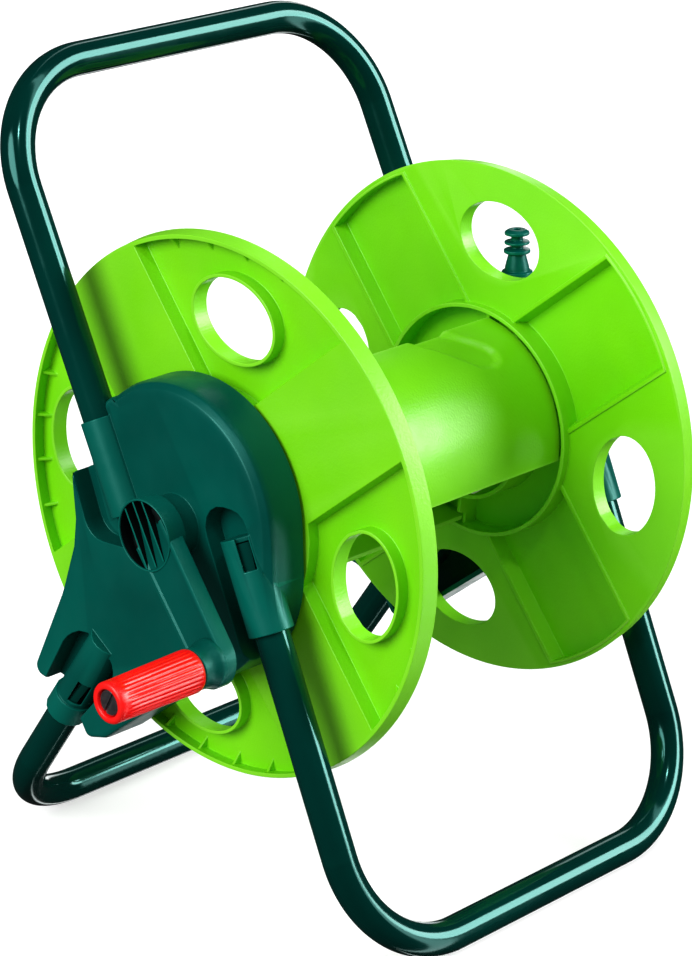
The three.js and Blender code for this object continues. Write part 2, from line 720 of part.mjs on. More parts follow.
/** The elbow that stands in the inlet plate: a barrel round the spindle and a pipe to the top. */
function inletElbow() {
  const barrelR = 16;
  const barrel = solid(barX(PLATE_IN + 1, PLATE_OUT - PLATE_WALL - GAP, barrelR, 32));
  const at = (z) => new THREE.Vector3(INLET.x, INLET.y, z);
  const pipe = solid(bar(at(2), at(INLET.top), INLET.r));
  const bore = solid(bar(at(4), at(INLET.top + 11), 4.8));
  return geometryOf(cut(barrel.add(pipe), [
    solid(barX(110, 124, BUSH_R + GAP, 24)),
    solid(barX(120, PLATE_OUT - PLATE_WALL - 2.4, 9.8, 24)),
    bore,
  ]));
}

/** The hose nipple on top of the inlet: a collar, a bell and three discs on a neck. */
function inletNozzle() {
  const outside = [
    [4.5, -12], [4.5, 0.3], [9, 0.3], [9, 4.4], [7.2, 5], [7, 7], [5, 14.6], [7.7, 15.4], [7.7, 17.2],
    [3.4, 18], [3.4, 20], [7.3, 20.6], [7.3, 22], [3.4, 22.6], [3.4, 25.4], [7.2, 26], [7.2, 27.6], [5, 29],
  ];
  const corners = [[2, -12], ...outside, [2, 29], [2, -12]];
  const points = corners.map(([r, z]) => new THREE.Vector2(r, z + INLET.top));
  const ordered = THREE.ShapeUtils.area(points) > 0 ? points : points.reverse();
  const lathe = new THREE.LatheGeometry(ordered, 20);
  return facing(lathe, [1, 0, 0], [0, 0, 1], [0, -1, 0]).translate(INLET.x, INLET.y, 0);
}

const HOSE_CORNER = new THREE.Vector3(70, 0, 0);
const HOSE_OUT = new THREE.Vector3(0, -1, -1).normalize();

/** A point on the hose elbow's outer leg. */
const hosePoint = (distance) => HOSE_CORNER.clone().addScaledVector(HOSE_OUT, distance);

/** The elbow inside the drum, from the spindle out to the opening between the shells. */
function hoseElbow() {
  const route = new BentRoute([new THREE.Vector3(108, 0, 0), HOSE_CORNER, hosePoint(40)], 16, 6);
  return tubeAlong(route, 5.9, 4.2, 14);
}

/** The collar that clamps the hose on that elbow. */
function hoseCollar() {
  const outside = solid(bar(hosePoint(24), hosePoint(38), 9, 12));
  return geometryOf(outside.subtract(solid(bar(hosePoint(20), hosePoint(42), 6.2, 14))));
}

// ---- Assembly -------------------------------------------------------------------------

function piece(name, geometry, look) {
  const mesh = new THREE.Mesh(geometry, new THREE.MeshStandardMaterial(look));
  mesh.name = name;
  return mesh;
}

const reel = new THREE.Group();
const add = (name, geometry, look) => reel.add(piece(name, geometry, look));

add('handle_tube', standTube(HANDLE), ENAMEL);
add('front_foot_tube', standTube(FRONT_FOOT), ENAMEL);
add('rear_foot_tube', standTube(REAR_FOOT), ENAMEL);
add('side_plate_crank', mirrored(sidePlate(true)), TEAL);
add('side_plate_inlet', sidePlate(false), TEAL);
FRAMES.forEach((frame, index) => {
  add(`tube_screw_inlet_${index + 1}`, tubeScrew(frame), STEEL);
  add(`tube_screw_crank_${index + 1}`, mirrored(tubeScrew(frame)), STEEL);
});

add('flange_inlet', flange(), LIME);
add('flange_crank', mirrored(flange()), LIME);
add('drum_shell_front', drumShell(0, SHELL_SCREWS.slice(0, 2)), LIME);
add('drum_shell_rear', drumShell(180, SHELL_SCREWS.slice(2)), LIME);
SHELL_SCREWS.forEach((angle, index) => {
  add(`drum_screw_inlet_${index + 1}`, drumScrew(angle), STEEL);
  add(`drum_screw_crank_${index + 1}`, mirrored(drumScrew(angle)), STEEL);
});

add('crank_arm', crankArm(), TEAL);
add('crank_bushing', mirrored(bushing(PLATE_IN, BUSH_END)), ACETAL);
add('crank_screw', crankScrew(), STEEL);
add('crank_washer', crankWasher(), STEEL);
add('grip_pin', gripPin(), STEEL);
add('crank_grip', crankGrip(), RED);

add('water_spindle', waterSpindle(), ACETAL);
add('spindle_seal_1', spindleSeal(125.5), SEAL);
add('spindle_seal_2', spindleSeal(129), SEAL);
add('inlet_bushing', bushing(PLATE_IN + 1, 124 - GAP), ACETAL);
add('inlet_elbow', inletElbow(), TEAL);
add('inlet_nozzle', inletNozzle(), TEAL);
add('hose_elbow', hoseElbow(), ACETAL);
add('hose_collar', hoseCollar(), ACETAL);

const box = new THREE.Box3().setFromObject(reel);
reel.position.set(-(box.min.x + box.max.x) / 2, -(box.min.y + box.max.y) / 2, -box.min.z);

export default reel;
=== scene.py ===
# The looks of the garden hose reel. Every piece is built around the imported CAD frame.
# Shapes are drawn in millimetres from the middle of the axle, and then moved into the row's frame.
# X runs along the axle, with the crank at -X. Angles go round the axle from straight up towards +Y.

import json
import math

import bmesh
import bpy
from mathutils import Matrix, Vector


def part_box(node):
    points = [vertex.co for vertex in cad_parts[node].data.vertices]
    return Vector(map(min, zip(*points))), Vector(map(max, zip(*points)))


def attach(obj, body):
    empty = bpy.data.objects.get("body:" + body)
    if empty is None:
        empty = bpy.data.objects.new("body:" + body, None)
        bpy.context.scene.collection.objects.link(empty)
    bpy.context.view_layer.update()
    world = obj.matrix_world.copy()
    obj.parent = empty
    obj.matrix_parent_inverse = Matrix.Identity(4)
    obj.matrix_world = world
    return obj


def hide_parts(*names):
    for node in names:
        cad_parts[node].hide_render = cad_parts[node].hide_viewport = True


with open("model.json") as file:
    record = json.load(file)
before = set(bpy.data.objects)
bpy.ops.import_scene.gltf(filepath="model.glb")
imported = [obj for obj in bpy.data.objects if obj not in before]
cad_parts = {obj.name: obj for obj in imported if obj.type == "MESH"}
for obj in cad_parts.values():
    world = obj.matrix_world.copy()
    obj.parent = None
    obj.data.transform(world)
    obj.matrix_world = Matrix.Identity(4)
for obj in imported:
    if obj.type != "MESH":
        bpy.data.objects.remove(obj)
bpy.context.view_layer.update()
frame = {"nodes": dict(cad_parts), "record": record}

# ---- Driving dimensions ------------------------------------------------------------------

MM = 0.001
JOINTS = {joint["name"]: Vector(joint["pos_m"]) for joint in frame["record"]["behaviour"]["joints"]}
AXLE = JOINTS["reel_spin"]
ELBOW = (JOINTS["grip_spin"] - AXLE) / MM
PHASE = -8.8                     # the reel's turn at rest

# Camera, from the middle of the axle.
CAMERA_AT = Vector((-1225, -1185, 575.6))
CAMERA_AZIMUTH = -45.71
CAMERA_ELEVATION = 18.97
CAMERA_ROLL = -1.127
CAMERA_LENS = 121.4
SENSOR_WIDTH = 36

# Stand: each U of tube has a bar at (y, z), and legs at x that lean to their ends.
TUBE_R = 9.5
TUBE_BORE_R = 8.1
TUBE_SIDES = 48
BEND_STEPS = 28
BAR_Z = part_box("front_foot_tube")[0].z / MM - AXLE.z / MM + TUBE_R
TUBES = {
    "handle_tube": {"x": 137, "y": 138, "z": 221, "lean": 24.1, "bend": 63, "end": 2},
    "front_foot_tube": {"x": 134, "y": -133.8, "z": BAR_Z, "lean": 21.7, "bend": 63, "end": 0},
    "rear_foot_tube": {"x": 133, "y": 167, "z": BAR_Z, "lean": 36.9, "bend": 56, "end": -97},
}

# Drum: quarter shells with a trough across the front one, drawn as [x, angle] corners.
DRUM_R = 64.5
DRUM_END = 97
WALL = 2.5
TROUGH_DEPTH = 2.6
TROUGH_EDGE = 4.0                # width of its sloping sides
TROUGH = [
    (24, 2), (33, -16), (38, -22), (47.5, -33), (57, -41.5), (66, -43.5), (74, -40.5),
    (76.5, -34), (74, -28), (64.5, -17), (58, -6), (55, 2),
]
LUG_R = 5.2
LUG_HOLE_R = 2
LUG_AT = 57.5                    # screw lugs inside the shells, from the axle
LUG_TURNS = (20, 70)             # their angles from the shell's first edge
LUG_LENGTH = 22
LUG_SIDES = 24
SHELL_GAP = 0.7                  # degrees left between a shell's edge and its neighbour's place
SHELL_SPAN = 90.3
SHELL_STEPS = 66
SHELL_STATIONS = 130

# Flange holes and the side plate's round cap.
HOLE_AT = 110
HOLE = (29.5, 22)                # half axes of each oval hole
HOLE_RIM = 2
CAP_Y = 4
CAP_Z = 5
CAP_DROP = 23

# Crank and grip.
HUB_BACK = -150.5
HUB_FACE = -163
HUB_R = 20
HUB_SIDES = 72
HUB_DEPTH = 10                   # of the hollow in its face
FINS = [                         # ends of the fins across that hollow, as [y, z]
    ((13.9, 11.8), (-1.3, -18.4)),
    ((7.9, 17.0), (-8.4, -15.7)),
    ((0.9, 18.7), (-14.4, -10.9)),
]
FIN_HALF = 0.5
SHAFT_R = 9
SHAFT_BORE_R = 2
SHAFT_END = -98.5
SHAFT_SIDES = 48
ARM_FRONT = -160
ARM_THICK = 9.5
ARM_RISE = 14
ARM_ROOT = 15
ARM_TIP = 13.6
ARM_SECTION = [                  # inset and depth from the back, round the raised edge, to the sunk face
    (0.6, ARM_THICK), (0, ARM_THICK - 0.6), (0, 1.2), (0.35, 0.35),
    (1.1, 0), (2.6, 0), (3.6, 0.9), (5.5, 1),
]
ARM_STEPS = 20
BOSS_R = 11.2
BOSS_SIDES = 56
GRIP_FROM = -186.2
GRIP_TO = -244
GRIP_R = 11.9
GRIP_TIP_R = 11.2
GRIP_BORE = 4.9
GRIP_SEAT = 7.4
FLUTES = 28
FLUTE_DEPTH = 0.55
FLUTE_POINTS = 8                 # points round each flute
TAPER_LENGTH = 44
TAPER_STEPS = 9

# Rounded edges, by the start of a node's name.
EDGES = {"side_plate": 0.6, "flange": 0.5, "inlet": 0.4}
OTHER_EDGES = 0.2

# Light: each soft light has a direction towards it, a strength and a spread in degrees.
LIGHTS = {
    "key": ((-0.86, 0.05, 0.46), 2.6, 40),
    "top_front": ((-0.28, -0.49, 0.82), 0.4, 5),
    "right": ((0.68, -0.67, 0.36), 2.9, 32),
}
AMBIENT = 0.35
GLOSS_AMBIENT = 0.03
STRIPS = [(-56, 6, 3.5), (35, 4, 2)]    # azimuth, half width and brightness
FLOOR_SIZE = 15                  # metres
FLOOR_GREY = 0.55
FLOOR_GLOW = 0.5

# ---- Materials ---------------------------------------------------------------------------


def srgb(red, green, blue):
    """A colour given as 0 to 255 in sRGB, as the linear colour that nodes take."""
    def linear(value):
        value /= 255
        return value / 12.92 if value <= 0.04045 else ((value + 0.055) / 1.055) ** 2.4
    return (linear(red), linear(green), linear(blue), 1)


class Nodes:
    """A short way to add and link shader nodes."""

    def __init__(self, name):
        self.material = bpy.data.materials.new(name)
        self.material.use_nodes = True
        self.tree = self.material.node_tree
        self.shader = self.tree.nodes["Principled BSDF"]
        self.coords = self.add("ShaderNodeTexCoord").outputs["Object"]

    def add(self, kind, **settings):
        node = self.tree.nodes.new(kind)
        for key, value in settings.items():
            setattr(node, key, value)
        return node

    def link(self, output, socket):
        self.tree.links.new(output, socket)

    def noise(self, scale, detail=3.0):
        """Noise in object space. Scale is in features per metre."""
        noise = self.add("ShaderNodeTexNoise")
        noise.inputs["Scale"].default_value = scale
        noise.inputs["Detail"].default_value = detail
        self.link(self.coords, noise.inputs["Vector"])
        return noise.outputs["Fac"]

    def ranged(self, value, low, high, from_low=0.3, from_high=0.7):
        """A value stretched from one range to another, and kept inside it."""
        node = self.add("ShaderNodeMapRange")
        node.inputs["From Min"].default_value = from_low
        node.inputs["From Max"].default_value = from_high
        node.inputs["To Min"].default_value = low
        node.inputs["To Max"].default_value = high
        self.link(value, node.inputs["Value"])
        return node.outputs["Result"]

    def mix(self, factor, first, second):
        """A blend of two colours, each a fixed one or another node's output."""
        node = self.add("ShaderNodeMix", data_type="RGBA")
        self.link(factor, node.inputs["Factor"])
        for value, socket in ((first, node.inputs["A"]), (second, node.inputs["B"])):
            if isinstance(value, tuple):
                socket.default_value = value
            else:
                self.link(value, socket)
        return node.outputs["Result"]

    def colour(self, plain, light, dark, patch_scale, edge_wear_and_highlight):
        """Base colour: soft patches between plain and dark, and a paler tone on sharp edges, partly wear
        and partly painted highlight.
        """
        patches = self.ranged(self.noise(patch_scale), 0, 1)
        tone = self.mix(patches, dark, plain)
        # Painted highlight, partly wear: edges with high pointiness are mixed towards the paler tone.
        edges = self.add("ShaderNodeNewGeometry").outputs["Pointiness"]
        wear_and_highlight = self.ranged(edges, 0, edge_wear_and_highlight, from_low=0.52, from_high=0.6)
        self.link(self.mix(wear_and_highlight, tone, light), self.shader.inputs["Base Color"])

    def roughness(self, low, high, scale):
        """Roughness that wanders between two values."""
        self.link(self.ranged(self.noise(scale, 5), low, high), self.shader.inputs["Roughness"])

    def grain(self, scale, strength, distance):
        """A fine surface grain, as a bump."""
        node = self.add("ShaderNodeBump")
        node.inputs["Strength"].default_value = strength
        node.inputs["Distance"].default_value = distance
        self.link(self.noise(scale, 2), node.inputs["Height"])
        self.link(node.outputs["Normal"], self.shader.inputs["Normal"])


def lime_plastic():
    """Glossy injection-moulded polypropylene, with a fine grain and slight flow marks."""
    nodes = Nodes("lime_plastic")
    nodes.colour(
        srgb(126, 214, 20), srgb(165, 235, 95), srgb(114, 204, 12),
        patch_scale=14, edge_wear_and_highlight=0.5,
    )
    nodes.roughness(0.32, 0.42, scale=70)
    nodes.grain(750, strength=0.4, distance=0.0003)
    nodes.shader.inputs["Specular IOR Level"].default_value = 0.5
    return nodes.material


def teal_plastic():
    """Satin moulded plastic with a fine spark-eroded texture."""
    nodes = Nodes("teal_plastic")
    nodes.colour(
        srgb(0, 84, 75), srgb(10, 125, 110), srgb(0, 74, 66),
        patch_scale=18, edge_wear_and_highlight=0.5,
    )
    nodes.roughness(0.3, 0.42, scale=90)
    nodes.grain(1400, strength=0.22, distance=0.0002)
    nodes.shader.inputs["Specular Tint"].default_value = (0.35, 1, 0.9, 1)
    return nodes.material


def tube_enamel():
    """Gloss enamel on steel tube, with a slight orange peel."""
    nodes = Nodes("enamelled_tube")
    nodes.colour(
        srgb(0, 50, 44), srgb(10, 90, 80), srgb(0, 42, 38),
        patch_scale=22, edge_wear_and_highlight=0.3,
    )
    nodes.roughness(0.1, 0.16, scale=60)
    nodes.grain(260, strength=0.1, distance=0.0002)
    nodes.shader.inputs["Specular Tint"].default_value = (0.35, 1, 0.9, 1)
    return nodes.material


def painted_hub_shade():
    """Painted shade: the same teal plastic, painted near-black inside the crank's hub to stand in for a
    deeper, unlit hollow.
    """
    nodes = Nodes("teal_plastic_painted_hub_shade")
    nodes.colour(
        srgb(0, 18, 16), srgb(0, 26, 24), srgb(0, 10, 9),
        patch_scale=60, edge_wear_and_highlight=0.2,
    )
    nodes.roughness(0.5, 0.6, scale=90)
    nodes.grain(1400, strength=0.1, distance=0.0002)
    nodes.shader.inputs["Specular IOR Level"].default_value = 0.2
    return nodes.material


def red_plastic():
    """Semi-gloss red plastic."""
    nodes = Nodes("red_plastic")
    nodes.colour(
        srgb(246, 8, 8), srgb(255, 70, 60), srgb(226, 4, 4),
        patch_scale=60, edge_wear_and_highlight=0.4,
    )
    nodes.roughness(0.28, 0.4, scale=200)
    nodes.grain(1500, strength=0.15, distance=0.0001)
    return nodes.material


def zinc_steel():
    """Zinc-plated steel with fine turning marks."""
    nodes = Nodes("zinc_steel")
    nodes.colour(
        srgb(120, 120, 122), srgb(180, 180, 182), srgb(90, 90, 94),
        patch_scale=120, edge_wear_and_highlight=0.5,
    )
    nodes.roughness(0.28, 0.46, scale=400)
    nodes.grain(2500, strength=0.15, distance=0.0001)
    nodes.shader.inputs["Metallic"].default_value = 0.85
    return nodes.material


def white_acetal():
    """Smooth off-white bearing plastic."""
    nodes = Nodes("white_acetal")
    nodes.colour(
        srgb(232, 232, 224), srgb(245, 245, 240), srgb(220, 219, 208),
        patch_scale=50, edge_wear_and_highlight=0.4,
    )
    nodes.roughness(0.3, 0.42, scale=150)
    nodes.grain(1200, strength=0.08, distance=0.0001)
    return nodes.material


def seal_rubber():
    """Matt black rubber."""
    nodes = Nodes("seal_rubber")
    nodes.colour(
        srgb(24, 24, 24), srgb(50, 50, 50), srgb(16, 16, 16),
        patch_scale=200, edge_wear_and_highlight=0.4,
    )
    nodes.roughness(0.6, 0.75, scale=300)
    nodes.grain(2000, strength=0.2, distance=0.0001)
    return nodes.material


MATERIALS = {
    "lime_plastic": lime_plastic(),
    "teal_plastic": teal_plastic(),
    "enamelled_tube": tube_enamel(),
    "red_plastic": red_plastic(),
    "zinc_steel": zinc_steel(),
    "white_acetal": white_acetal(),
    "seal_rubber": seal_rubber(),
}
SLOT_OF = {part["node"]: part["material_slot"] for part in frame["record"]["subparts"]}
BODY_OF = {
    node: body
    for body, nodes in frame["record"]["behaviour"]["bodies"].items()
    for node in nodes
}

# ---- Mesh helpers ------------------------------------------------------------------------


def finish_piece(name, mesh, node):
    """Makes a mesh an object that stands for a CAD node, with its body, slot and material."""
    piece = bpy.data.objects.new(name, mesh)
    bpy.context.scene.collection.objects.link(piece)
    mesh.materials.clear()
    mesh.materials.append(MATERIALS[SLOT_OF[node]])
    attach(piece, BODY_OF[node])
    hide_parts(node)
    return piece


def drawn_piece(name, bm, node, sharp=35):
    """A piece drawn in millimetres from the axle."""
    bmesh.ops.recalc_face_normals(bm, faces=bm.faces)
    bm.transform(Matrix.Translation(AXLE) @ Matrix.Scale(MM, 4))
    mesh = bpy.data.meshes.new(name)
    bm.to_mesh(mesh)
    bm.free()
    mesh.shade_smooth()
    mesh.set_sharp_from_angle(angle=math.radians(sharp))
    return finish_piece(name, mesh, node)


def bridge(bm, first, second):
    """Quads between two rings of the same length."""
    count = len(first)
    for i in range(count):
        j = (i + 1) % count
        bm.faces.new((first[i], first[j], second[j], second[i]))


def loft(bm, rings, closed=False):
    """A skin over rings of points, closed on itself or capped at both ends."""
    rows = [[bm.verts.new(point) for point in ring] for ring in rings]
    for first, second in zip(rows, rows[1:]):
        bridge(bm, first, second)
    if closed:
        bridge(bm, rows[-1], rows[0])
    else:
        bm.faces.new(rows[0])
        bm.faces.new(rows[-1])


def circle_x(x, r, segments, centre=(0, 0)):
    """Points of a circle round the X axis, or round another axis beside it."""
    return [
        Vector((x, centre[0] + r * math.sin(angle), centre[1] + r * math.cos(angle)))
        for angle in (2 * math.pi * i / segments for i in range(segments))
    ]


def lathe(bm, profile, segments, centre=(0, 0), closed=False):
    """An [x, r] profile turned about X."""
    loft(bm, [circle_x(x, r, segments, centre) for x, r in profile], closed)


def turned_point(x, r, angle):
    """A point at a distance and an angle round the axle."""
    turn = math.radians(angle)
    return Vector((x, r * math.sin(turn), r * math.cos(turn)))


# ---- Pieces that take their shape from the CAD -------------------------------------------


SAME_X = 0.02                    # how flat a chord lies
SAME_R = 0.002                   # how close to one radius its ends are, as a share of it
CHORD_TURNS = (0.04, 0.6)        # the smallest and largest turn of a chord, in radians


class Arc:
    """A round or oval edge in the YZ plane, for finding and smoothing its chords."""

    def __init__(self, centre=(0, 0), axes=(1, 1), turn=0):
        self.centre = centre
        self.axes = axes
        self.cos = math.cos(math.radians(turn))
        self.sin = math.sin(math.radians(turn))

    def polar(self, co):
        """Radius and angle of a point, in the arc's own axes."""
        y = co.y - self.centre[0]
        z = co.z - self.centre[1]
        u = (y * self.cos - z * self.sin) / self.axes[0]
        v = (y * self.sin + z * self.cos) / self.axes[1]
        return math.hypot(u, v), math.atan2(v, u)

    def point(self, x, r, angle):
        """The point at a radius and an angle in the arc's own axes."""
        u = r * math.cos(angle) * self.axes[0]
        v = r * math.sin(angle) * self.axes[1]
        y = u * self.cos + v * self.sin
        z = -u * self.sin + v * self.cos
        return Vector((x, y + self.centre[0], z + self.centre[1]))

    def chord(self, edge, smallest):
        """Radius, first angle and turn of an edge that is a chord of this arc, or None."""
        first, second = edge.verts
        if abs(first.co.x - second.co.x) > SAME_X:
            return None
        r0, a0 = self.polar(first.co)
        r1, a1 = self.polar(second.co)
        turn = (a1 - a0 + math.pi) % (2 * math.pi) - math.pi
        if abs(r0 - r1) > SAME_R * r0 or r0 < smallest:
            return None
        if not CHORD_TURNS[0] < abs(turn) < CHORD_TURNS[1]:
            return None
        return r0, a0, turn


def round_arcs(bm, arc, cuts, smallest):
    """Splits every chord of an arc and lifts the new corners onto the true curve."""
    chords = {edge: arc.chord(edge, smallest) for edge in bm.edges}
    chords = {edge: found for edge, found in chords.items() if found}
    quads = [face for face in bm.faces if len(face.verts) == 4]
    strips = [[edge for edge in face.edges if edge in chords] for face in quads]
    pairs = [pair for pair in strips if len(pair) == 2]
    added = {}
    for edge, (r, angle, turn) in chords.items():
        first, last = edge.verts
        x = first.co.x
        corners = []
        rest = edge
        for cut in range(1, cuts + 1):
            before = corners[-1] if corners else first
            _, corner = bmesh.utils.edge_split(rest, before, 0.5)
            corner.co = arc.point(x, r, angle + turn * cut / (cuts + 1))
            corners.append(corner)
            rest = next(link for link in corner.link_edges if link.other_vert(corner) == last)
        added[edge] = corners
    for first, second in pairs:
        near, far = added[first], added[second]
        if (near[0].co - far[0].co).length > (near[0].co - far[-1].co).length:
            far = far[::-1]
        for start, end in zip(near, far):
            bmesh.ops.connect_vert_pair(bm, verts=[start, end])


def hole_arcs():
    """The edges of the flange's four oval holes and of the rims round them."""
    arcs = []
    for quarter in range(4):
        angle = PHASE + 90 * quarter
        centre = turned_point(0, HOLE_AT, angle)
        for grow in (0, HOLE_RIM):
            arcs.append(Arc((centre.y, centre.z), (HOLE[0] + grow, HOLE[1] + grow), angle))
    return arcs


# For each kind of moulding: an arc, the cuts in each chord, and the smallest radius that counts.
ARCS = {
    "flange": [(Arc(), 2, 15), *((arc, 3, 0.9) for arc in hole_arcs())],
    "side_plate": [(Arc((CAP_Y, CAP_Z)), 3, 50), (Arc((CAP_Y, CAP_Z - CAP_DROP)), 3, 50)],
}
MERGE = 0.03
SLIVER = 0.05
FLAT_ANGLE = 1.5
EDGE_ANGLE = 28


def moulded(node, edge):
    """A CAD node with its facets merged, smooth curves, and rounded edges that catch the light."""
    bm = bmesh.new()
    bm.from_mesh(frame["nodes"][node].data)
    bm.transform(Matrix.Scale(1 / MM, 4) @ Matrix.Translation(-AXLE))
    bmesh.ops.remove_doubles(bm, verts=bm.verts, dist=MERGE)
    bmesh.ops.dissolve_degenerate(bm, edges=bm.edges, dist=SLIVER)
    bmesh.ops.dissolve_limit(
        bm, angle_limit=math.radians(FLAT_ANGLE), verts=bm.verts, edges=bm.edges,
    )
    for start, arcs in ARCS.items():
        if node.startswith(start):
            for arc, cuts, smallest in arcs:
                round_arcs(bm, arc, cuts, smallest)
    bm.transform(Matrix.Translation(AXLE) @ Matrix.Scale(MM, 4))
    mesh = bpy.data.meshes.new(node + "_moulded")
    bm.to_mesh(mesh)
    bm.free()
    mesh.shade_smooth()
    piece = finish_piece(node + "_moulded", mesh, node)
    bevel = piece.modifiers.new("rounded_edges", "BEVEL")
    bevel.limit_method = "ANGLE"
    bevel.angle_limit = math.radians(EDGE_ANGLE)
    bevel.width = edge * MM
    bevel.segments = 2
    bevel.use_clamp_overlap = False
    weighted = piece.modifiers.new("flat_faces", "WEIGHTED_NORMAL")
    weighted.mode = "FACE_AREA"
    weighted.weight = 90


# ---- Stand -------------------------------------------------------------------------------


def bent_route(corners, bend_r):
    """Points along straight runs, with a round bend at every inner corner."""
    route = [corners[0]]
    for before, corner, after in zip(corners, corners[1:], corners[2:]):
        back = (before - corner).normalized()
        on = (after - corner).normalized()
        half = back.angle(on) / 2
        middle = corner + (back + on).normalized() * bend_r / math.sin(half)
        start = corner + back * bend_r / math.tan(half) - middle
        axis = on.cross(back).normalized()
        for step in range(BEND_STEPS + 1):
            turn = Matrix.Rotation((math.pi - 2 * half) * step / BEND_STEPS, 3, axis)
            route.append(middle + turn @ start)
    return route + [corners[-1]]


def sweep_ring(route, index, normal, r, sides):
    """A circle square to the route at one of its points, in a flat route with that normal."""
    before = route[max(index - 1, 0)]
    after = route[min(index + 1, len(route) - 1)]
    side = normal.cross(after - before).normalized()
    angles = [2 * math.pi * i / sides for i in range(sides)]
    return [route[index] + (side * math.cos(a) + normal * math.sin(a)) * r for a in angles]


def stand_tube(node):
    """One U of the stand: a hollow tube along a flat route."""
    spec = TUBES[node]
    side = math.copysign(1, spec["y"] * spec["z"])
    slope = side * math.tan(math.radians(spec["lean"]))
    end_y = spec["y"] + slope * (spec["end"] - spec["z"])
    corners = [
        Vector((-spec["x"], end_y, spec["end"])),
        Vector((-spec["x"], spec["y"], spec["z"])),
        Vector((spec["x"], spec["y"], spec["z"])),
        Vector((spec["x"], end_y, spec["end"])),
    ]
    route = bent_route(corners, spec["bend"])
    normal = (corners[1] - corners[0]).cross(corners[2] - corners[1]).normalized()
    places = range(len(route))
    outside = [sweep_ring(route, i, normal, TUBE_R, TUBE_SIDES) for i in places]
    inside = [sweep_ring(route, i, normal, TUBE_BORE_R, TUBE_SIDES) for i in reversed(places)]
    bm = bmesh.new()
    loft(bm, outside + inside, closed=True)
    drawn_piece(node + "_bent", bm, node)


# ---- Drum shells -------------------------------------------------------------------------


def distance_inside(x, y, outline):
    """How far a point is inside an outline, or 0 outside it."""
    inside = False
    nearest = math.inf
    for (ax, ay), (bx, by) in zip(outline, outline[1:] + outline[:1]):
        if (ay > y) != (by > y) and x < ax + (y - ay) * (bx - ax) / (by - ay):
            inside = not inside
        span = (bx - ax) ** 2 + (by - ay) ** 2
        along = max(0, min(1, ((x - ax) * (bx - ax) + (y - ay) * (by - ay)) / span))
        nearest = min(nearest, math.hypot(x - ax - along * (bx - ax), y - ay - along * (by - ay)))
    return nearest if inside else 0


def drum_lug(bm, angle, side):
    """A hollow screw lug inside a shell, at one of its ends."""
    centre = turned_point(0, LUG_AT, angle)
    inner_end = side * (DRUM_END - LUG_LENGTH)
    outer_end = side * DRUM_END
    profile = [
        (inner_end, LUG_HOLE_R),
        (inner_end, LUG_R),
        (outer_end, LUG_R),
        (outer_end, LUG_HOLE_R),
    ]
    lathe(bm, profile, LUG_SIDES, (centre.y, centre.z), closed=True)


def drum_shell(node, start, has_trough):
    """A quarter shell that ends at a start angle, with its trough and its screw lugs."""
    per_degree = math.radians(1) * DRUM_R
    outline = [(x, angle * per_degree) for x, angle in TROUGH]

    def sunk(x, turn):
        if not has_trough:
            return 0
        reach = min(distance_inside(x, (start + turn) * per_degree, outline) / TROUGH_EDGE, 1)
        return TROUGH_DEPTH * reach * reach * (3 - 2 * reach)

    turns = [-SHELL_GAP - SHELL_SPAN * i / SHELL_STEPS for i in range(SHELL_STEPS + 1)]
    bm = bmesh.new()
    rings = []
    for i in range(SHELL_STATIONS + 1):
        x = -DRUM_END + 2 * DRUM_END * i / SHELL_STATIONS
        radii = [DRUM_R - sunk(x, turn) for turn in turns]
        outer = [turned_point(x, r, start + turn) for r, turn in zip(radii, turns)]
        inner = [turned_point(x, r - WALL, start + turn) for r, turn in zip(radii, turns)]
        rings.append(outer + inner[::-1])
    loft(bm, rings)
    for angle in LUG_TURNS:
        for side in (-1, 1):
            drum_lug(bm, start - angle, side)
    drawn_piece(node + "_shell", bm, node)


# ---- Crank and grip ----------------------------------------------------------------------


def arm_outline(root, tip):
    """Points round the hull of a circle at the hub and one at the elbow, as (along, across)."""
    reach = math.hypot(ELBOW.y, ELBOW.z)
    side = math.asin((root - tip) / reach)
    points = []
    for step in range(ARM_STEPS + 1):
        angle = math.pi / 2 - side + (math.pi + 2 * side) * step / ARM_STEPS
        points.append((root * math.cos(angle), root * math.sin(angle)))
    for step in range(ARM_STEPS + 1):
        angle = -math.pi / 2 + side + (math.pi - 2 * side) * step / ARM_STEPS
        points.append((reach + tip * math.cos(angle), tip * math.sin(angle)))
    return points


def arm_ring(inset, depth):
    """A ring of the arm: its outline pulled in, at a depth behind the sloping front face.

    No point goes further back than the hub does, so the arm stays clear of the side plate.
    """
    reach = math.hypot(ELBOW.y, ELBOW.z)
    along = Vector((0, ELBOW.y, ELBOW.z)) / reach
    across = Vector((0, ELBOW.z, -ELBOW.y)) / reach
    points = []
    for s, t in arm_outline(ARM_ROOT - inset, ARM_TIP - inset):
        x = min(ARM_FRONT - ARM_RISE * s / reach + depth, HUB_BACK)
        points.append(Vector((x, 0, 0)) + along * s + across * t)
    return points


def hub_fin(bm, first, second):
    """A thin fin across the hollow hub, flush with its rim."""
    span = Vector((0, second[0] - first[0], second[1] - first[1]))
    side = Vector((1, 0, 0)).cross(span).normalized() * FIN_HALF
    section = [(HUB_DEPTH, 1), (0.4, 1), (0.1, 0.5)]
    rings = []
    for end in (first, second):
        middles = [(Vector((HUB_FACE + depth, *end)), width) for depth, width in section]
        left = [middle + side * width for middle, width in middles]
        right = [middle - side * width for middle, width in reversed(middles)]
        rings.append(left + right)
    loft(bm, rings)


